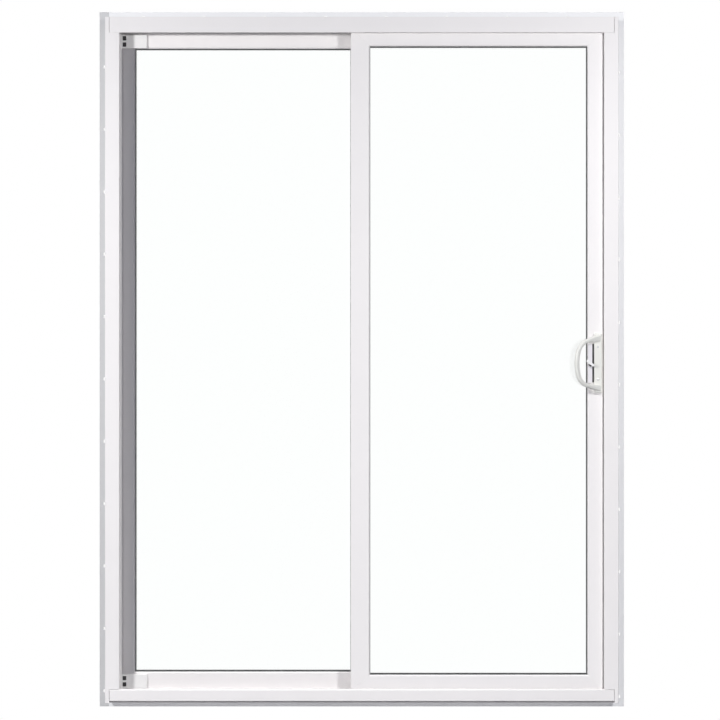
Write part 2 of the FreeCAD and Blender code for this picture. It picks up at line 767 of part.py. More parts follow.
def make_track():
    """An aluminium rail with a rounded top, standing on the floor of the sill's roller channel."""
    near = (s.track_flange - s.track_web) / 2
    far = (s.track_flange + s.track_web) / 2
    rise = s.track_top - s.sill_floor
    section = [(0, 0), (s.track_base, 0), (s.track_base, near), (rise, near), (rise, far),
               (s.track_base, far), (s.track_base, s.track_flange), (0, s.track_flange)]
    body = extrude("sill_track", [section], (JAMB_SIDE - s.track_end_gap) * 2)
    round_edges(body, s.track_round, runs_at([(rise, near), (rise, far)]))
    y = FRONT + SLIDE_CENTRE - s.track_flange / 2
    place(body, "bottom", JAMB_SIDE - s.track_end_gap, y, BASE + s.sill_floor)


def roller(label, x):
    """A roller carriage in the bottom rail's groove: a channel with an axle and a grooved wheel on it."""
    cheek = s.roller_cheek
    wheel_level = BASE + s.track_top + s.roller_lift + s.tread_radius
    carriage_level = PANEL_BOTTOM + s.rail_groove_depth - s.roller_height
    y = FRONT + SLIDE_CENTRE - s.roller_width / 2

    carriage = new_body(f"{label}_carriage", listed=False)
    section = new_sketch(carriage, "YZ_Plane")
    outline(section, [(0, 0), (cheek, 0), (cheek, s.roller_height - cheek),
                      (s.roller_width - cheek, s.roller_height - cheek), (s.roller_width - cheek, 0),
                      (s.roller_width, 0), (s.roller_width, s.roller_height), (0, s.roller_height)])
    pad(carriage, section, s.roller_length)
    axle = new_sketch(carriage, "XZ_Plane")
    circle(axle, s.roller_length / 2, wheel_level - carriage_level, s.axle_radius)
    pad(carriage, axle, s.roller_width, reverse=True)
    place(carriage, "left", x - s.roller_length / 2, y, carriage_level)

    wheel = new_body(f"{label}_wheel", listed=False)
    flange = (s.wheel_width - s.tread_width) / 2
    profile = new_sketch(wheel, "XY_Plane")
    bore = s.axle_radius + s.axle_fit
    outline(profile, [(bore, 0), (s.wheel_radius, 0), (s.wheel_radius, flange), (s.tread_radius, flange),
                      (s.tread_radius, s.wheel_width - flange), (s.wheel_radius, s.wheel_width - flange),
                      (s.wheel_radius, s.wheel_width), (bore, s.wheel_width)])
    spin = wheel.newObject("PartDesign::Revolution", f"{label}_spin")
    spin.Profile = profile
    spin.ReferenceAxis = (origin_feature(wheel, "Y_Axis"), [""])
    spin.Angle = 360
    wheel.Tip = spin
    place(wheel, "left", x, FRONT + SLIDE_CENTRE - s.wheel_width / 2, wheel_level)

    pair = doc.addObject("Part::Compound", label)
    pair.Label = label
    pair.Links = [carriage, wheel]
    parts.append(pair)


# Lock and handles

def faceplate_recess(lock_stile):
    """A shallow seat for the lock's faceplate in the lock stile's outer edge."""
    level = PANEL_TOP - LOCK_LEVEL
    half_width = s.faceplate_width / 2 + s.plate_fit
    half_length = s.faceplate_length / 2 + s.plate_fit
    middle = s.panel_thickness / 2
    sketch = new_sketch(lock_stile, "YZ_Plane")
    outline(sketch, box(middle - half_width, level - half_length, middle + half_width, level + half_length))
    pocket(lock_stile, sketch, s.faceplate_thickness, reverse=True)


def lock_plate(label, length, width, thickness, x):
    """A steel plate set flush in the edge of a stile or jamb, with a slot for the lock's hook."""
    body = new_body(label)
    sketch = new_sketch(body, "YZ_Plane")
    outline(sketch, box(0, 0, width, length))
    long_hole(sketch, width / 2, length / 2, s.hook_slot_length, s.hook_slot_width, upright=True)
    pad(body, sketch, thickness)
    place(body, "left", x, FRONT + SLIDE_CENTRE - width / 2, LOCK_LEVEL - length / 2)


def pull_loop(sketch, reach, half, grip, corner, rise):
    """One side of a pull's outline: an arm from the foot, a corner, the grip, a corner and an arm back.

    It stands on the sketch's upright axis, with the corners' centres a rise above and below the level.
    """
    hub = value_of(reach - grip)
    lean = math.asin(value_of(rise) / value_of(grip - corner))
    root = FreeCAD.Vector(0, value_of(half), 0)
    bend = FreeCAD.Vector(hub + value_of(grip - corner) * math.cos(lean), value_of(rise), 0)
    away = root - bend
    leave = math.atan2(away.y, away.x) - math.acos(value_of(corner) / away.Length)
    touch = bend + FreeCAD.Vector(math.cos(leave), math.sin(leave), 0) * value_of(corner)

    def below(point):
        return FreeCAD.Vector(point.x, -point.y, 0)

    def bow(centre, radius, start, end):
        return Part.ArcOfCircle(Part.Circle(centre, Z_AXIS, value_of(radius)), start, end)

    foot, lower, middle, upper, head = range(sketch.GeometryCount, sketch.GeometryCount + 5)
    sketch.addGeometry([
        Part.LineSegment(below(root), below(touch)),
        bow(below(bend), corner, -leave, -lean),
        bow(FreeCAD.Vector(hub, 0, 0), grip, -lean, lean),
        bow(bend, corner, lean, leave),
        Part.LineSegment(touch, root),
    ])
    for edge in (foot, lower, middle, upper):
        sketch.addConstraint(Sketcher.Constraint("Tangent", edge, 2, edge + 1, 1))
    sketch.addConstraint([
        Sketcher.Constraint("PointOnObject", head, 2, -2),
        Sketcher.Constraint("Symmetric", foot, 1, head, 2, -1),
        Sketcher.Constraint("PointOnObject", middle, 3, -1),
        Sketcher.Constraint("Equal", lower, upper),
    ])
    tie(sketch, "DistanceX", -1, 1, middle, 3, reach - grip)
    tie(sketch, "Radius", middle, grip)
    tie(sketch, "Radius", upper, corner)
    tie(sketch, "DistanceY", -1, 1, upper, 3, rise)
    tie(sketch, "DistanceY", -1, 1, lower, 3, -rise)
    tie(sketch, "DistanceY", -1, 1, head, 2, half)
    return foot, head


def pull_handle(label, tilt, root, reach, half, grip, outer_bend, inner_bend):
    """A loop pull with a round-edged bar on a raised spine, drawn as seen from its own side of the door.

    The body's Y axis points into the stile, and its X axis towards the stile's outer edge.
    """
    body = new_body(label)
    loop = new_sketch(body, "XZ_Plane")
    turn_sketch(loop, -Y_AXIS, 180 - tilt)
    loop.setExpression("AttachmentOffset.Base.x", formula_of(-root))
    loop.setExpression("AttachmentOffset.Base.z", formula_of(s.pull_thickness / 2))
    outer_ends = pull_loop(loop, reach, half, grip, *outer_bend)
    inner_ends = pull_loop(loop, reach - s.pull_bar, half - s.pull_foot, grip - s.pull_bar, *inner_bend)
    for outer, inner, end in zip(outer_ends, inner_ends, (1, 2)):
        closing = loop.addGeometry(Part.LineSegment(loop.getPoint(outer, end), loop.getPoint(inner, end)))
        loop.addConstraint([
            Sketcher.Constraint("Coincident", closing, 1, outer, end),
            Sketcher.Constraint("Coincident", closing, 2, inner, end),
        ])
    pad(body, loop, s.pull_thickness, both_ways=True)
    round_edges(body, s.pull_round, lambda edge: edge.Curve.TypeId == "Part::GeomCircle")
    raise_block(body, -s.spine_width, 0, s.spine_length, s.spine_thickness)
    edge_y = -value_of(s.spine_thickness)
    end_z = value_of(s.spine_length) / 2

    def free_edge(edge):
        ends = [v.Point for v in edge.Vertexes]
        outer_side = all(abs(p.x) < 1e-4 for p in ends)
        end_side = all(abs(abs(p.z) - end_z) < 1e-4 for p in ends)
        return all(abs(p.y - edge_y) < 1e-4 for p in ends) and (outer_side or end_side)

    round_edges(body, s.spine_round, free_edge)
    return body


def raise_block(body, near, far, length, thickness):
    """Adds a flat block to a handle, level about the lock, from the stile's face outwards."""
    sketch = new_sketch(body, "XZ_Plane")
    outline(sketch, box(near, -length / 2, far, length / 2))
    pad(body, sketch, thickness)


def make_lock():
    lock_plate("lock_faceplate", s.faceplate_length, s.faceplate_width, s.faceplate_thickness,
               SLIDE_RIGHT - s.faceplate_thickness)
    lock_plate("lock_keeper", s.keeper_length, s.keeper_width, s.keeper_thickness, JAMB_SIDE)

    plate_edge = SLIDE_RIGHT - s.plate_setback
    inside = pull_handle("inside_handle", s.inside_pull_tilt, s.inside_pull_root, s.inside_pull_reach,
                         s.inside_pull_half, s.inside_grip_radius,
                         (s.inside_outer_corner, s.inside_outer_rise),
                         (s.inside_inner_corner, s.inside_inner_rise))
    raise_block(inside, -s.plate_width, -s.spine_width, s.plate_length, s.plate_thickness)
    raise_block(inside, -s.plate_width, s.strip_width - s.plate_width, s.plate_length, s.strip_thickness)
    place(inside, "left", plate_edge, SLIDE_FACE, LOCK_LEVEL)
    outside = pull_handle("outside_pull", s.outside_pull_tilt, s.spine_width / 2, s.outside_pull_reach,
                          s.outside_pull_half, s.outside_grip_radius,
                          (s.outside_outer_corner, s.outside_outer_rise),
                          (s.outside_inner_corner, s.outside_inner_rise))
    raise_block(outside, -s.outside_plate_width, 0, s.spine_length, s.plate_thickness)
    place(outside, "outdoors", plate_edge, FRONT + SLIDE_BACK, LOCK_LEVEL)


def make_thumb_turn():
    """The lock's thumb turn: a round stem on the handle's strip and a slanting bar across its end."""
    body = new_body("thumb_turn")
    stem = new_sketch(body, "XZ_Plane", s.strip_thickness + s.thumb_fit)
    circle(stem, 0, 0, s.thumb_stem_radius)
    bar_rise = s.spine_thickness + s.thumb_clearance
    pad(body, stem, bar_rise + s.thumb_thickness / 2 - s.strip_thickness - s.thumb_fit)
    bar = new_sketch(body, "XZ_Plane", bar_rise)
    turn_sketch(bar, -Z_AXIS, s.thumb_slant)
    long_hole(bar, 0, 0, s.thumb_length, s.thumb_width, upright=False)
    pad(body, bar, s.thumb_thickness)
    strip_middle = SLIDE_RIGHT - s.plate_setback - s.plate_width + s.strip_width / 2
    place(body, "left", strip_middle, SLIDE_FACE, LOCK_LEVEL)


# Retainer clips and weather pile

def retainer_clip(label, z):
    """A moulded clip over a corner of the fixed panel, with two open pockets beside the jamb."""
    thickness = s.panel_gap - s.running_clearance
    body = plate(label, [box(0, 0, s.clip_length, s.clip_height)], thickness)
    pockets = new_sketch(body, "XZ_Plane")
    margin = (s.clip_height - s.clip_pocket_height * 2 - s.clip_rib) / 2
    for low in (margin, margin + s.clip_pocket_height + s.clip_rib):
        outline(pockets, box(s.clip_pocket_setback, low, s.clip_pocket_setback + s.clip_pocket_width,
                             low + s.clip_pocket_height))
    pocket(body, pockets, s.clip_pocket_depth)

    def free_edge(edge):
        far = value_of(s.clip_length)
        return all(abs(v.Point.x - far) < 1e-4 and abs(v.Point.y) < 1e-4 for v in edge.Vertexes)

    round_edges(body, s.clip_round, free_edge)
    place(body, "left", -JAMB_SIDE, FRONT + MIDDLE_FRONT, z)


def make_clips():
    retainer_clip("upper_retainer_clip", PANEL_TOP - s.rail_width)
    retainer_clip("lower_retainer_clip", BASE + s.sill_middle_rise + s.clip_fit)


def make_pile():
    """The weather pile that closes the gap between the lock stile and its jamb."""
    fit = s.pile_fit
    floor = s.jamb_face - s.kerf_depth + fit
    lip = s.jamb_face - s.kerf_lip - fit
    tip = s.jamb_face + s.closing_gap - fit
    half = s.kerf_width / 2 - fit
    stem = s.kerf_mouth / 2 - fit
    near = [(floor, -half), (lip, -half), (lip, -stem), (tip, -stem)]
    section = [(u, KERF_CENTRE + v) for u, v in near + [(u, -v) for u, v in reversed(near)]]
    length = s.frame_height - s.head_face - s.sill_face
    body = extrude("jamb_pile", [section], length, rise=s.head_face)
    place(body, "right", HALF, FRONT, TOP)


def check_document():
    """Stops the build at a failed feature, a cut that removes nothing or a piece without a sound solid."""
    for item in doc.Objects:
        if any(state in ("Invalid", "Error") for state in item.State):
            raise RuntimeError(f"{item.Label} failed: {item.State}")
        if item.TypeId == "PartDesign::Pocket":
            if item.Shape.Volume >= item.BaseFeature.Shape.Volume - 1e-6:
                raise RuntimeError(f"{item.Label} cuts nothing")
    for piece in parts:
        if piece.Shape.isNull() or not piece.Shape.isValid() or not piece.Shape.Solids:
            raise RuntimeError(f"{piece.Label} has no sound solid")


def main():
    make_frame()
    make_fins()
    make_panels()
    make_interlock()
    make_track()
    roller("left_roller", SLIDE_LEFT + s.roller_inset)
    roller("right_roller", SLIDE_RIGHT - s.roller_inset)
    make_lock()
    make_thumb_turn()
    make_clips()
    make_pile()
    doc.recompute()
    check_document()
    os.makedirs("parts", exist_ok=True)
    for piece in parts:
        piece.Shape.exportStep(f"parts/{piece.Label}.step")


main()
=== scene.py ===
"""The sliding patio door in a white studio: finishes, screws, painted-shade pads, weather pile, camera and
lamps.
"""

import math

import bmesh
import bpy
from mathutils import Matrix, Vector


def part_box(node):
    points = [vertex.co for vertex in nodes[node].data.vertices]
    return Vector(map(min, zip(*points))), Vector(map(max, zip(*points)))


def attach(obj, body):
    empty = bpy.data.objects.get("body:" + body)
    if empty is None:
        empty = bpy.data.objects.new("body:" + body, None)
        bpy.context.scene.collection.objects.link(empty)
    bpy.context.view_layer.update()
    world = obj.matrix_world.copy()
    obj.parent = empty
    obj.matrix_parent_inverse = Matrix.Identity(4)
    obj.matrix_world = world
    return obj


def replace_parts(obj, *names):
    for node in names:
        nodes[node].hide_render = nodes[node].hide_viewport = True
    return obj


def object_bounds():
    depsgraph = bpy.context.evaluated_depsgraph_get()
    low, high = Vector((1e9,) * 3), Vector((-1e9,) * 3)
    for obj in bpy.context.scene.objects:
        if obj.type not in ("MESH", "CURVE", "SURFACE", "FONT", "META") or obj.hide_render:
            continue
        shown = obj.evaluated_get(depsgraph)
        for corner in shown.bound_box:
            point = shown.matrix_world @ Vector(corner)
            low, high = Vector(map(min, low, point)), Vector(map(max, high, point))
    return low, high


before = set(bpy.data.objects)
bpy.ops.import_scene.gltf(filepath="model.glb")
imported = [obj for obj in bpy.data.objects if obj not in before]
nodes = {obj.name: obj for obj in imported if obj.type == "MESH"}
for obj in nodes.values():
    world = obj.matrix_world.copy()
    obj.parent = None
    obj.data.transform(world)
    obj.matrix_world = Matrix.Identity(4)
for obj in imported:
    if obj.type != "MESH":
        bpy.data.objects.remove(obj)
cad_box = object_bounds()
scene = bpy.context.scene

# Where the door's own pieces lie, in metres

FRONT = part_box("left_jamb")[0].y
STILE_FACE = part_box("sliding_lock_stile")[0].y
HANDLE_LO, HANDLE_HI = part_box("inside_handle")
FACEPLATE_LO, FACEPLATE_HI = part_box("lock_faceplate")
KEEPER_LO, KEEPER_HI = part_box("lock_keeper")
PILE_LO, PILE_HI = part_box("jamb_pile")
CLIP_BOXES = [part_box("upper_retainer_clip"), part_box("lower_retainer_clip")]
LOCK_LEVEL = (HANDLE_LO.z + HANDLE_HI.z) / 2

# How far parts of the indoor handle stand out from the stile
PLATE_RISE = 0.002
STRIP_RISE = 0.009
SPINE_RISE = 0.011


# Node trees

# Sockets that share a name with others on their node, by place
MIX_FIRST, MIX_SECOND, MIX_RESULT = 6, 7, 2
RANDOM_LEAST, RANDOM_MOST, RANDOM_VALUE = 2, 3, 1


class Wire:
    """A value in a node tree, whose sums, products and comparisons add Math nodes to that tree."""

    def __init__(self, net, socket):
        self.net = net
        self.socket = socket

    def maths(self, operation, first, second):
        return self.net.node("ShaderNodeMath", {"operation": operation}, {0: first, 1: second})

    def __add__(self, other):
        return self.maths("ADD", self, other)

    def __sub__(self, other):
        return self.maths("SUBTRACT", self, other)

    def __rsub__(self, other):
        return self.maths("SUBTRACT", other, self)

    def __mul__(self, other):
        return self.maths("MULTIPLY", self, other)

    def __truediv__(self, other):
        return self.maths("DIVIDE", self, other)

    def __rtruediv__(self, other):
        return self.maths("DIVIDE", other, self)

    def __gt__(self, other):
        return self.maths("GREATER_THAN", self, other)

    def __lt__(self, other):
        return self.maths("LESS_THAN", self, other)

    __radd__ = __add__
    __rmul__ = __mul__


class Net:
    """A node tree under construction."""

    def __init__(self, tree):
        self.tree = tree

    def node(self, kind, settings=None, inputs=None, output=0):
        """Adds a node: first its settings, then its sockets, each a value, a wire or a list of wires."""
        made = self.tree.nodes.new(kind)
        for key, value in (settings or {}).items():
            setattr(made, key, value)
        for key, value in (inputs or {}).items():
            for wire in value if isinstance(value, list) else [value]:
                if isinstance(wire, Wire):
                    self.tree.links.new(wire.socket, made.inputs[key])
                else:
                    made.inputs[key].default_value = wire
        return Wire(self, made.outputs[output]) if len(made.outputs) else None

    def blend(self, share, first, second):
        """The first colour where the share is nought, and the second where it is one."""
        return self.node("ShaderNodeMix", {"data_type": "RGBA"}, {
            "Factor": share, MIX_FIRST: first, MIX_SECOND: second}, output=MIX_RESULT)

    def seen_directly(self):
        """One for rays from the camera, and for those that a mirror or a pane sends on."""
        share = self.node("ShaderNodeLightPath", output="Is Camera Ray")
        for ray in ("Is Glossy Ray", "Is Transmission Ray"):
            share = share.maths("MAXIMUM", share, self.node("ShaderNodeLightPath", output=ray))
        return share


# Materials

class Paint(Net):
    """A material under construction."""

    def __init__(self, name):
        self.material = bpy.data.materials.new(name)
        self.material.use_nodes = True
        super().__init__(self.material.node_tree)
        self.tree.nodes.clear()

    def place(self, stretch=(1, 1, 1)):
        """Object coordinates in metres, stretched for a pattern that runs along a piece."""
        where = self.node("ShaderNodeTexCoord", output="Object")
        return self.node("ShaderNodeMapping", inputs={"Vector": where, "Scale": stretch})

    def noise(self, scale, detail, stretch=(1, 1, 1)):
        return self.node("ShaderNodeTexNoise", inputs={
            "Vector": self.place(stretch), "Scale": scale, "Detail": detail})

    def inside(self, low, high):
        """One within a box of object coordinates, and nought outside it."""
        split = self.node("ShaderNodeSeparateXYZ", inputs={"Vector": self.place()})
        axes = [Wire(self, socket) for socket in split.socket.node.outputs]
        return math.prod((axis > least) * (axis < most) for axis, least, most in zip(axes, low, high))

    def bump(self, height, strength, distance):
        return self.node("ShaderNodeBump", inputs={
            "Height": height, "Strength": strength, "Distance": distance})

    def finish(self, **sockets):
        """Ends the material in one Principled shader and hands it back."""
        named = {key.replace("_", " "): value for key, value in sockets.items()}
        shader = self.node("ShaderNodeBsdfPrincipled", inputs=named)
        self.node("ShaderNodeOutputMaterial", inputs={"Surface": shader})
        return self.material


def shade(red, green, blue):
    return (red, green, blue, 1.0)


def duller(colour, share):
    return shade(*(channel * share for channel in colour))


# How much of its colour a finish keeps where it is dullest
VINYL_KEEPS, MOULDING_KEEPS, METAL_KEEPS = 0.965, 0.96, 0.82

# How wide a finish's pattern spreads its roughness, and the middle of a pattern
MOTTLE_ROUGHNESS, LINE_ROUGHNESS, SCRATCH_ROUGHNESS, BLOOM_ROUGHNESS = 0.10, 0.06, 0.18, 0.20
MIDDLE = 0.5

# Shares of the die lines and of the mottling in the vinyl's relief
LINE_RELIEF, MOTTLE_RELIEF = 0.6, 0.4

# How much lighter the bloom on rubber is, as a share and as a trace of dust
BLOOM_GAIN, BLOOM_DUST = 1.5, 0.01


def vinyl(name, colour, stretch, roughness):
    """White extruded vinyl: faint die lines along the member, a little mottling and a soft sheen."""
    paint = Paint(name)
    lines = paint.noise(scale=1.0, detail=2.0, stretch=stretch)
    mottle = paint.noise(scale=9.0, detail=4.0)
    base = paint.blend(mottle, duller(colour, VINYL_KEEPS), shade(*colour))
    rough = roughness + (mottle - MIDDLE) * MOTTLE_ROUGHNESS + (lines - MIDDLE) * LINE_ROUGHNESS
    relief = paint.bump(lines * LINE_RELIEF + mottle * MOTTLE_RELIEF, strength=0.10, distance=0.0002)
    return paint.finish(Base_Color=base, Roughness=rough, Normal=relief, IOR=1.53)


def moulded(name, colour, roughness, inlay=None):
    """Moulded or powder-coated white with a fine orange peel, and maybe an inlay of another white."""
    paint = Paint(name)
    peel = paint.noise(scale=900.0, detail=2.0)
    mottle = paint.noise(scale=25.0, detail=3.0)
    base = paint.blend(mottle, duller(colour, MOULDING_KEEPS), shade(*colour))
    if inlay:
        low, high, other = inlay
        base = paint.blend(paint.inside(low, high), base, shade(*other))
    rough = roughness + (mottle - MIDDLE) * MOTTLE_ROUGHNESS
    relief = paint.bump(peel, strength=0.08, distance=0.0002)
    return paint.finish(Base_Color=base, Roughness=rough, Normal=relief, IOR=1.5)


def rubber(name, colour):
    """Dark rubber with a dusty bloom."""
    paint = Paint(name)
    bloom = paint.noise(scale=140.0, detail=4.0)
    dusty = shade(*(channel * BLOOM_GAIN + BLOOM_DUST for channel in colour))
    base = paint.blend(bloom, shade(*colour), dusty)
    return paint.finish(Base_Color=base, Roughness=RUBBER_ROUGHNESS + bloom * BLOOM_ROUGHNESS)


def metal(name, colour, stretch, roughness):
    """Drawn or brushed metal with fine scratches along it."""
    paint = Paint(name)
    scratches = paint.noise(scale=1.0, detail=3.0, stretch=stretch)
    base = paint.blend(scratches, duller(colour, METAL_KEEPS), shade(*colour))
    rough = roughness + scratches * SCRATCH_ROUGHNESS
    relief = paint.bump(scratches, strength=0.12, distance=0.0001)
    return paint.finish(Base_Color=base, Roughness=rough, Metallic=1.0, Normal=relief)


def clear_glass(name):
    """Clear float glass, with a trace of green in its body."""
    paint = Paint(name)
    relief = paint.bump(paint.noise(scale=2.5, detail=1.0), strength=0.02, distance=0.001)
    return paint.finish(Base_Color=shade(*GLASS_TINT), Roughness=0.0, IOR=1.45,
                        Transmission_Weight=1.0, Normal=relief)


def pile_yarn(name):
    """Grey woven pile, streaked from fibre to fibre."""
    paint = Paint(name)
    fibres = paint.noise(scale=1.0, detail=2.0, stretch=FIBRES)
    base = paint.blend(fibres, shade(*DARK_YARN), shade(*LIGHT_YARN))
    return paint.finish(Base_Color=base, Roughness=0.95, Sheen_Weight=0.3)


WHITE_VINYL = (0.85, 0.824, 0.817)
FIN_VINYL = (0.88, 0.878, 0.882)
# Painted shade: a darker copy of the fin vinyl for the left fin, standing for the shade that falls on it
PAINTED_SHADE_FIN_VINYL = (0.58, 0.58, 0.583)
CLIP_WHITE = (0.82, 0.81, 0.80)
HANDLE_CREAM = (0.80, 0.795, 0.75)
STRIP_WHITE = (0.76, 0.735, 0.765)
THUMB_WHITE = (0.88, 0.875, 0.87)
SEAL_GREY = (0.145, 0.15, 0.15)
# Black for pads of painted shade: the clips' pockets, the handle's groove, and the thumb bar's shadow
PAINTED_SHADE_BLACK = (0.020, 0.018, 0.020)
SPACER_GREY = (0.55, 0.57, 0.57)
TRACK_GREY = (0.78, 0.785, 0.79)
PLATE_GREY = (0.66, 0.665, 0.67)
GLASS_TINT = (0.992, 0.999, 0.996)
DARK_YARN = (0.34, 0.34, 0.33)
LIGHT_YARN = (0.62, 0.62, 0.60)

VINYL_ROUGHNESS = 0.48
FIN_ROUGHNESS = 0.52
RUBBER_ROUGHNESS = 0.55

# How often a pattern repeats over a metre, along X, Y and Z
UPRIGHT_LINES = (700, 700, 1.5)
LEVEL_LINES = (1.5, 700, 700)
EVEN_SCRATCHES = (300, 300, 300)
LEVEL_SCRATCHES = (2, 900, 900)
UPRIGHT_SCRATCHES = (900, 900, 6)
FIBRES = (900, 900, 2500)

# The strip beside the handle's spine, from just over the plate to just over the strip's own face
STRIP_OUTER_INSET = 0.043
STRIP_INNER_INSET = 0.0295
STRIP_REACH = 0.058
STRIP_FROM, STRIP_TO = 0.0021, 0.0094
STRIP_LO = (HANDLE_HI.x - STRIP_OUTER_INSET, STILE_FACE - STRIP_TO, LOCK_LEVEL - STRIP_REACH)
STRIP_HI = (HANDLE_HI.x - STRIP_INNER_INSET, STILE_FACE - STRIP_FROM, LOCK_LEVEL + STRIP_REACH)

upright_vinyl = vinyl("upright_vinyl", WHITE_VINYL, UPRIGHT_LINES, VINYL_ROUGHNESS)
level_vinyl = vinyl("level_vinyl", WHITE_VINYL, LEVEL_LINES, VINYL_ROUGHNESS)
upright_fin = vinyl("upright_fin_vinyl", FIN_VINYL, UPRIGHT_LINES, FIN_ROUGHNESS)
# The left fin's vinyl, darkened as painted shade
painted_shade_fin = vinyl("grey_fin_vinyl", PAINTED_SHADE_FIN_VINYL, UPRIGHT_LINES, FIN_ROUGHNESS)
level_fin = vinyl("level_fin_vinyl", FIN_VINYL, LEVEL_LINES, FIN_ROUGHNESS)
clip_plastic = moulded("clip_plastic", CLIP_WHITE, roughness=0.42)
handle_coat = moulded("handle_coat", HANDLE_CREAM, roughness=0.30, inlay=(STRIP_LO, STRIP_HI, STRIP_WHITE))
thumb_coat = moulded("thumb_coat", THUMB_WHITE, roughness=0.26)
seal_rubber = rubber("seal_rubber", SEAL_GREY)
spacer_metal = metal("spacer_metal", SPACER_GREY, EVEN_SCRATCHES, roughness=0.42)
track_metal = metal("track_metal", TRACK_GREY, LEVEL_SCRATCHES, roughness=0.28)
plate_steel = metal("plate_steel", PLATE_GREY, UPRIGHT_SCRATCHES, roughness=0.26)
# Dark rubber-like finish of the painted-shade pads
pad_rubber = rubber("pad_rubber", PAINTED_SHADE_BLACK)
pane_glass = clear_glass("pane_glass")
pile_wool = pile_yarn("pile_wool")

FINISHES = {
    upright_vinyl: ["left_jamb", "right_jamb", "fixed_jamb_stile", "fixed_meeting_stile",
                    "sliding_meeting_stile", "sliding_lock_stile", "fixed_interlock", "sliding_interlock"],
    level_vinyl: ["head", "sill", "fixed_top_rail", "fixed_bottom_rail", "sliding_top_rail",
                  "sliding_bottom_rail"],
    upright_fin: ["right_nail_fin"],
    # The left fin takes the darker fin vinyl, which is painted shade
    painted_shade_fin: ["left_nail_fin"],
    level_fin: ["head_nail_fin", "sill_nail_fin"],
    clip_plastic: ["upper_retainer_clip", "lower_retainer_clip"],
    handle_coat: ["inside_handle", "outside_pull"],
    thumb_coat: ["thumb_turn"],
    seal_rubber: ["fixed_inner_gasket", "fixed_outer_gasket", "sliding_inner_gasket", "sliding_outer_gasket"],
    spacer_metal: ["fixed_glass_spacer", "sliding_glass_spacer"],
    track_metal: ["sill_track"],
    plate_steel: ["lock_keeper", "lock_faceplate", "left_roller", "right_roller"],
    pane_glass: ["fixed_inner_pane", "fixed_outer_pane", "sliding_inner_pane", "sliding_outer_pane"],
    pile_wool: ["jamb_pile"],
}
for finish, names in FINISHES.items():
    for name in names:
        nodes[name].data.materials.clear()
        nodes[name].data.materials.append(finish)


# Edges of the extrusions and mouldings, broken so that corners and joints catch the light

EXTRUSION_BREAK = 0.0004
MOULDING_BREAK = 0.0005
BREAK_STEPS = 2
SHARP_TURN = math.radians(50)
SAME_POINT = 1e-5


def break_edges(names, width):
    """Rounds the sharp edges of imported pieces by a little, with their normals kept flat on the faces."""
    for name in names:
        piece = nodes[name]
        merge = piece.modifiers.new("merge", "WELD")
        merge.merge_threshold = SAME_POINT
        edge = piece.modifiers.new("edge_break", "BEVEL")
        edge.width = width
        edge.segments = BREAK_STEPS
        edge.limit_method = "ANGLE"
        edge.angle_limit = SHARP_TURN
        edge.use_clamp_overlap = False
        edge.harden_normals = True


break_edges(FINISHES[upright_vinyl] + FINISHES[level_vinyl], EXTRUSION_BREAK)
break_edges(FINISHES[clip_plastic], MOULDING_BREAK)


# Screws, painted-shade pads and weather pile, laid out by Geometry Nodes

class Pattern(Net):
    """A Geometry Nodes tree under construction, with named inputs for its sizes."""

    def __init__(self, name, sizes):
        super().__init__(bpy.data.node_groups.new(name, "GeometryNodeTree"))
        self.name = name
        face = self.tree.interface
        face.new_socket("Geometry", in_out="INPUT", socket_type="NodeSocketGeometry")
        face.new_socket("Geometry", in_out="OUTPUT", socket_type="NodeSocketGeometry")
        self.sockets = {}
        for label, kind in sizes.items():
            socket = face.new_socket(label, in_out="INPUT", socket_type=f"NodeSocket{kind}")
            self.sockets[label] = socket.identifier
        self.source = self.tree.nodes.new("NodeGroupInput")

    def size(self, label):
        return Wire(self, self.source.outputs[label])

    def vector(self, *parts):
        return self.node("ShaderNodeCombineXYZ", inputs=dict(enumerate(parts)))

    def copies(self, points, shape, **how):
        """A copy of a shape on each point of a mesh."""
        spots = self.node("GeometryNodeMeshToPoints", inputs={"Mesh": points})
        return self.node("GeometryNodeInstanceOnPoints", inputs={"Points": spots, "Instance": shape, **how})

    def end(self, shape, material):
        """Closes the tree: every copy made real, with its material."""
        real = self.node("GeometryNodeRealizeInstances", inputs={"Geometry": shape})
        dressed = self.node("GeometryNodeSetMaterial", inputs={"Geometry": real, "Material": material})
        self.node("NodeGroupOutput", inputs={"Geometry": dressed})

    def grow(self, name, points, sizes):
        """Runs the tree on a set of points and hands back the plain mesh that comes of it."""
        mesh = bpy.data.meshes.new(f"{name}_points")
        mesh.from_pydata(points, [], [])
        seed = bpy.data.objects.new(f"{name}_points", mesh)
        scene.collection.objects.link(seed)
        modifier = seed.modifiers.new(self.name, "NODES")
        modifier.node_group = self.tree
        for label, value in sizes.items():
            modifier[self.sockets[label]] = value
        bpy.context.view_layer.update()
        ready = seed.evaluated_get(bpy.context.evaluated_depsgraph_get())
        grown = bpy.data.meshes.new_from_object(ready)
        grown.name = name
        seed.modifiers.clear()
        bpy.data.objects.remove(seed)
        return grown


HEAD_SEGMENTS = 28
HEAD_RINGS = 14
RECESS_DEPTH = 1.3


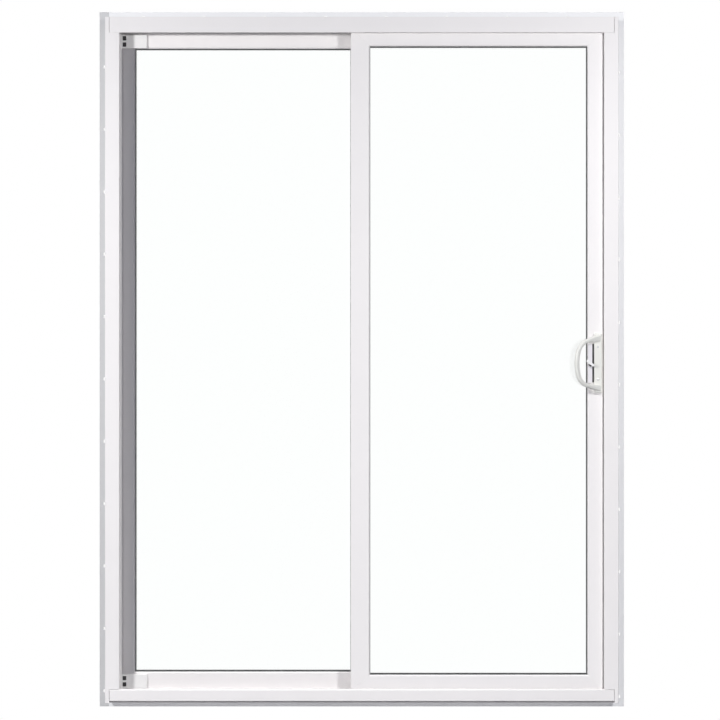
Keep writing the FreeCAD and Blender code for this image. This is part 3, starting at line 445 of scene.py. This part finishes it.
def screw_pattern(material):
    """A domed screw head with a cross recess, on each point."""
    net = Pattern("screw_heads", {
        "Head Radius": "Float", "Head Rise": "Float", "Recess Reach": "Float", "Recess Width": "Float",
        "Facing": "Vector"})
    radius, rise = net.size("Head Radius"), net.size("Head Rise")
    ball = net.node("GeometryNodeMeshUVSphere", inputs={
        "Segments": HEAD_SEGMENTS, "Rings": HEAD_RINGS, "Radius": radius})
    head = net.node("GeometryNodeTransform", inputs={
        "Geometry": ball, "Scale": net.vector(1.0, 1.0, rise / radius)})
    recess = net.vector(net.size("Recess Reach") * 2, net.size("Recess Width"), rise * RECESS_DEPTH)
    bar = net.node("GeometryNodeMeshCube", inputs={"Size": recess})
    lift = net.vector(0.0, 0.0, rise)
    cross = [net.node("GeometryNodeTransform", inputs={
        "Geometry": bar, "Translation": lift, "Rotation": (0, 0, turn)}) for turn in (0.0, math.pi / 2)]
    cut = net.node("GeometryNodeMeshBoolean", {"operation": "DIFFERENCE", "solver": "EXACT"}, {
        "Mesh 1": head, "Mesh 2": cross, "Self Intersection": True})
    facing = net.node("FunctionNodeAlignRotationToVector", {"axis": "Z"}, {"Vector": net.size("Facing")})
    net.end(net.copies(net.size("Geometry"), cut, Rotation=facing), material)
    return net


CORNER_STEPS = 5
PAD_SEAM = 1e-6


def pad_pattern(material):
    """A block with rounded corners on each point, turned to stand out from what carries it."""
    net = Pattern("rounded_pads", {
        "Width": "Float", "Height": "Float", "Depth": "Float", "Corner": "Float", "Turn": "Vector"})
    edge = net.node("GeometryNodeCurvePrimitiveQuadrilateral", inputs={
        "Width": net.size("Width"), "Height": net.size("Height")})
    rounded = net.node("GeometryNodeFilletCurve", {"mode": "POLY"}, {
        "Curve": edge, "Radius": net.size("Corner"), "Count": CORNER_STEPS})
    face = net.node("GeometryNodeFillCurve", {"mode": "NGONS"}, {"Curve": rounded})
    raised = net.node("GeometryNodeExtrudeMesh", inputs={"Mesh": face, "Offset Scale": net.size("Depth")})
    back = net.node("GeometryNodeFlipFaces", inputs={"Mesh": face})
    both = net.node("GeometryNodeJoinGeometry", inputs={"Geometry": [raised, back]})
    block = net.node("GeometryNodeMergeByDistance", inputs={"Geometry": both, "Distance": PAD_SEAM})
    net.end(net.copies(net.size("Geometry"), block, Rotation=net.size("Turn")), material)
    return net


TUFT_SIDES = 5
TUFT_TAPER = 0.45
TUFT_SHORTEST = 0.78
TUFT_FACING = (0, -math.pi / 2, 0)
LEAN_SEED = 11
HEIGHT_SEED = 5


def tuft_pattern(material):
    """Short tufts of pile in upright rows, one row from each point, each tuft leaning its own way."""
    net = Pattern("pile_tufts", {
        "Length": "Float", "Count": "Int", "Tuft Height": "Float", "Tuft Radius": "Float", "Lean": "Float"})
    step = net.vector(0.0, 0.0, net.size("Length") / net.size("Count"))
    line = net.node("GeometryNodeMeshLine", inputs={"Count": net.size("Count"), "Offset": step})
    rows = net.copies(net.size("Geometry"), line)
    spots = net.node("GeometryNodeRealizeInstances", inputs={"Geometry": rows})
    radius = net.size("Tuft Radius")
    tuft = net.node("GeometryNodeMeshCone", {"fill_type": "NONE"}, {
        "Vertices": TUFT_SIDES, "Radius Top": radius * TUFT_TAPER, "Radius Bottom": radius,
        "Depth": net.size("Tuft Height")})
    swing = net.node("FunctionNodeRandomValue", {"data_type": "FLOAT_VECTOR"}, {
        "Min": (-1, -1, -1), "Max": (1, 1, 1), "Seed": LEAN_SEED})
    tilt = net.node("ShaderNodeVectorMath", {"operation": "SCALE"}, {0: swing, "Scale": net.size("Lean")})
    facing = net.node("ShaderNodeVectorMath", {"operation": "ADD"}, {0: tilt, 1: TUFT_FACING})
    height = net.node("FunctionNodeRandomValue", {"data_type": "FLOAT"}, {
        RANDOM_LEAST: TUFT_SHORTEST, RANDOM_MOST: 1.0, "Seed": HEIGHT_SEED}, output=RANDOM_VALUE)
    net.end(net.copies(spots, tuft, Rotation=facing, Scale=height), material)
    return net


def add_piece(name, mesh, body):
    """A piece of the scene's own, which rides on a body."""
    piece = bpy.data.objects.new(name, mesh)
    scene.collection.objects.link(piece)
    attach(piece, body)
    return piece


HANDLE_SCREW_INSET = 0.0135
HANDLE_SCREW_REACH = 0.048
PLATE_SCREW_INSET = 0.012
HANDLE_SCREW = {"Head Radius": 0.0034, "Head Rise": 0.0012, "Recess Reach": 0.0019, "Recess Width": 0.0008}
PLATE_SCREW = {"Head Radius": 0.0036, "Head Rise": 0.0007, "Recess Reach": 0.0020, "Recess Width": 0.0008}


def add_screws():
    """Two screws in each of the handle's spine, the lock's faceplate and its keeper."""
    screws = screw_pattern(plate_steel)
    x, y = HANDLE_HI.x - HANDLE_SCREW_INSET, STILE_FACE - SPINE_RISE
    spots = [(x, y, LOCK_LEVEL + side * HANDLE_SCREW_REACH) for side in (-1, 1)]
    mesh = screws.grow("handle_screws", spots, {**HANDLE_SCREW, "Facing": (0, -1, 0)})
    add_piece("handle_screws", mesh, "sliding_panel")
    for name, low, high, x, facing, body in (
            ("faceplate_screws", FACEPLATE_LO, FACEPLATE_HI, FACEPLATE_HI.x, (1, 0, 0), "sliding_panel"),
            ("keeper_screws", KEEPER_LO, KEEPER_HI, KEEPER_LO.x, (-1, 0, 0), "frame")):
        y = (low.y + high.y) / 2
        spots = [(x, y, low.z + PLATE_SCREW_INSET), (x, y, high.z - PLATE_SCREW_INSET)]
        mesh = screws.grow(name, spots, {**PLATE_SCREW, "Facing": facing})
        add_piece(name, mesh, body)


# The turn about X that stands a pad up, to face indoors
INDOORS = math.pi / 2

CLIP_POCKET_SETBACK = 0.0025
CLIP_POCKET_WIDTH = 0.011
CLIP_POCKET_DEPTH = 0.005
CLIP_POCKET_RISE = 0.00925
GROOVE_INSET = 0.027
THUMB_INSET = 0.036
# How far below the lock level the thumb bar's painted shadow lies
THUMB_SHADOW_DROP = 0.006
THUMB_SLANT = math.radians(52)
# The clip pads are painted shade: black blocks that darken the clips' pockets like deep shade
CLIP_POCKET_SHADE = {"Width": 0.0106, "Height": 0.0126, "Depth": 0.0038, "Corner": 0.0016, "Turn": (INDOORS, 0.0, 0.0)}
# The groove liner is painted shade: a black strip along the handle's groove that darkens it like deep shade
GROOVE_SHADE = {"Width": 0.0056, "Height": 0.1136, "Depth": 0.0012, "Corner": 0.0012,
                "Turn": (INDOORS, 0.0, 0.0)}
# The thumb pad is a painted shadow: a dark patch below and left of the thumb bar, where its shadow falls
THUMB_SHADOW = {"Width": 0.006, "Height": 0.010, "Depth": 0.0002, "Corner": 0.002,
              "Turn": (INDOORS, -THUMB_SLANT, 0.0)}


def add_painted_shade_pads():
    """Black pads of painted shade in the clips' pockets and the handle's groove, and a painted shadow under
    its thumb turn.
    """
    pads = pad_pattern(pad_rubber)
    pockets = []
    for low, high in CLIP_BOXES:
        x = low.x + CLIP_POCKET_SETBACK + CLIP_POCKET_WIDTH / 2
        y = low.y + CLIP_POCKET_DEPTH
        middle = (low.z + high.z) / 2
        pockets += [(x, y, middle + side * CLIP_POCKET_RISE) for side in (-1, 1)]
    # Painted shade along the groove, and the thumb bar's painted shadow just below it
    groove = [(HANDLE_HI.x - GROOVE_INSET, STILE_FACE - PLATE_RISE, LOCK_LEVEL)]
    shadow_spot = [(HANDLE_HI.x - THUMB_INSET, STILE_FACE - STRIP_RISE, LOCK_LEVEL - THUMB_SHADOW_DROP)]
    for name, spots, sizes, body in (
            ("clip_pocket_shade", pockets, CLIP_POCKET_SHADE, "frame"),
            ("handle_groove_shade", groove, GROOVE_SHADE, "sliding_panel"),
            ("thumb_painted_shadow", shadow_spot, THUMB_SHADOW, "sliding_panel")):
        add_piece(name, pads.grow(name, spots, sizes), body)


PILE_BACKING = 0.0030
BACKING_EDGE = PILE_BACKING / 6
BACKING_STEPS = 2
PILE_ROWS = 3
TUFT_SPACING = 0.0011
TUFT_RADIUS = 0.00055
TUFT_LEAN = 0.22


def add_pile():
    """The lock jamb's weather pile: a woven backing in the kerf and rows of tufts that stand out of it."""
    backing = bmesh.new()
    root = PILE_HI.x - PILE_BACKING
    size = Vector((PILE_BACKING, PILE_HI.y - PILE_LO.y, PILE_HI.z - PILE_LO.z))
    middle = Vector((root + PILE_BACKING / 2, (PILE_LO.y + PILE_HI.y) / 2, (PILE_LO.z + PILE_HI.z) / 2))
    bmesh.ops.create_cube(backing, size=1.0, matrix=Matrix.LocRotScale(middle, None, size))
    bmesh.ops.bevel(backing, geom=backing.edges[:], offset=BACKING_EDGE, segments=BACKING_STEPS,
                    affect="EDGES")
    spread = size.y / (PILE_ROWS * 2)
    spots = [(root, middle.y + (row - (PILE_ROWS - 1) / 2) * spread, PILE_LO.z) for row in range(PILE_ROWS)]
    tufts = tuft_pattern(pile_wool).grow("jamb_pile_tufts", spots, {
        "Length": size.z, "Count": int(size.z / TUFT_SPACING), "Tuft Height": root - PILE_LO.x,
        "Tuft Radius": TUFT_RADIUS, "Lean": TUFT_LEAN})
    backing.from_mesh(tufts)
    backing.to_mesh(tufts)
    backing.free()
    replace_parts(add_piece("jamb_pile_tufts", tufts, "frame"), "jamb_pile")


add_screws()
add_painted_shade_pads()
add_pile()


# Camera, as the photograph was taken: square on, from the height of a standing viewer's chest

VIEW_DISTANCE = 5.6
VIEW_HEIGHT = 1.141
IMAGE_PIXELS = 720
PIXELS_PER_METRE = 340.0
AXIS_PIXEL = (361.8, 320.0)
SENSOR_WIDTH = 36.0


def add_camera():
    """A level camera, shifted so that its axis meets the picture where the photograph's does."""
    data = bpy.data.cameras.new("camera")
    data.sensor_width = SENSOR_WIDTH
    data.sensor_fit = "HORIZONTAL"
    data.lens = SENSOR_WIDTH * VIEW_DISTANCE * PIXELS_PER_METRE / IMAGE_PIXELS
    data.shift_x = (IMAGE_PIXELS / 2 - AXIS_PIXEL[0]) / IMAGE_PIXELS
    data.shift_y = (AXIS_PIXEL[1] - IMAGE_PIXELS / 2) / IMAGE_PIXELS
    camera = bpy.data.objects.new("camera", data)
    camera.location = (0, FRONT - VIEW_DISTANCE, VIEW_HEIGHT)
    camera.rotation_euler = (math.pi / 2, 0, 0)
    scene.collection.objects.link(camera)
    scene.camera = camera


# Studio: two soft lamps indoors and one out of doors, a white world and a white floor well below the door

LAMP_HEIGHT = 1.95
LAMP_SIZE = 0.26
LEFT_LAMP = {"x": -1.7, "standoff": 1.51, "aim": (-1.5, 1.05), "watts": 8.7}
RIGHT_LAMP = {"x": 1.2, "standoff": 1.51, "aim": (1.3, 1.15), "watts": 6.5}
REAR_LAMP = {"x": -0.9, "standoff": -2.4, "aim": (0.0, 1.8), "watts": 5.6}
WORLD_LIGHT = (0.150, 0.162, 0.205)
BACKDROP_WHITE = shade(1.0, 1.0, 1.0)
FLOOR_GREY = shade(0.55, 0.55, 0.55)
FLOOR_DROP = 0.55
FLOOR_HALF = 12.0
SHADOW_CORE = 0.2
SHADOW_REACH = 1.1
GLOW_IN_SHADOW = 0.7


def add_lamp(name, x, standoff, aim, watts):
    """A soft lamp indoors or out of doors, which faces a point of the door and doesn't fade with distance."""
    data = bpy.data.lights.new(name, "AREA")
    data.shape = "DISK"
    data.size = LAMP_SIZE
    data.energy = watts
    data.use_nodes = True
    net = Net(data.node_tree)
    even = net.node("ShaderNodeLightFalloff", inputs={"Strength": 1.0}, output="Constant")
    net.tree.links.new(even.socket, net.tree.nodes["Emission"].inputs["Strength"])
    lamp = bpy.data.objects.new(name, data)
    lamp.location = (x, FRONT - standoff, LAMP_HEIGHT)
    facing = Vector((aim[0] - x, standoff, aim[1] - LAMP_HEIGHT))
    lamp.rotation_euler = facing.to_track_quat("-Z", "Y").to_euler()
    lamp.visible_camera = lamp.visible_transmission = False
    scene.collection.objects.link(lamp)
    return lamp


def leave_out(lamp, role, names):
    """Takes pieces out of those that a lamp lights, or out of those that throw its shadow."""
    apart = bpy.data.collections.new(f"{lamp.name}_{role}")
    setattr(lamp.light_linking, role, apart)
    for name in names:
        apart.objects.link(nodes[name])
    for entry in apart.collection_objects:
        entry.light_linking.link_state = "EXCLUDE"


def add_lamps():
    """The three lamps, none of them mirrored in the panes.

    To come near the photograph's tones, the left one throws no shadow of the indoor handle, and the right
    one leaves out the fixed jamb stile.
    """
    left = add_lamp("left_lamp", **LEFT_LAMP)
    right = add_lamp("right_lamp", **RIGHT_LAMP)
    rear = add_lamp("rear_lamp", **REAR_LAMP)
    panes = FINISHES[pane_glass]
    leave_out(left, "blocker_collection", ["inside_handle"])
    leave_out(left, "receiver_collection", panes)
    leave_out(right, "receiver_collection", panes + ["fixed_jamb_stile"])
    leave_out(rear, "receiver_collection", panes)


def add_world():
    """A world that looks white, but lights the door only dimly and with a blue cast."""
    world = bpy.data.worlds.new("studio")
    world.use_nodes = True
    net = Net(world.node_tree)
    sky = net.blend(net.seen_directly(), shade(*WORLD_LIGHT), BACKDROP_WHITE)
    net.tree.links.new(sky.socket, net.tree.nodes["Background"].inputs["Color"])
    scene.world = world


def add_floor():
    """A floor that looks white, keeps a trace of the door's shadow and fades to the backdrop."""
    mesh = bpy.data.meshes.new("studio_floor")
    level = cad_box[0][2] - FLOOR_DROP
    corners = [(-1, -1), (1, -1), (1, 1), (-1, 1)]
    mesh.from_pydata([(x * FLOOR_HALF, y * FLOOR_HALF, level) for x, y in corners], [], [(0, 1, 2, 3)])
    floor = bpy.data.objects.new("studio_floor", mesh)
    scene.collection.objects.link(floor)
    paint = Paint("studio_white")
    matt = paint.node("ShaderNodeBsdfDiffuse", inputs={"Color": FLOOR_GREY})
    glow = paint.node("ShaderNodeEmission", inputs={"Color": BACKDROP_WHITE, "Strength": 1.0})
    away = paint.node("ShaderNodeVectorMath", {"operation": "LENGTH"}, {0: paint.place()}, output="Value")
    fade = paint.node("ShaderNodeMapRange", {"interpolation_type": "SMOOTHSTEP"}, {
        "Value": away, "From Min": SHADOW_CORE, "From Max": SHADOW_REACH,
        "To Min": GLOW_IN_SHADOW, "To Max": 1.0})
    mixed = paint.node("ShaderNodeMixShader", inputs={0: paint.seen_directly() * fade, 1: matt, 2: glow})
    paint.node("ShaderNodeOutputMaterial", inputs={"Surface": mixed})
    mesh.materials.append(paint.material)


scene.view_settings.view_transform = "Standard"
add_camera()
add_lamps()
add_world()
add_floor()
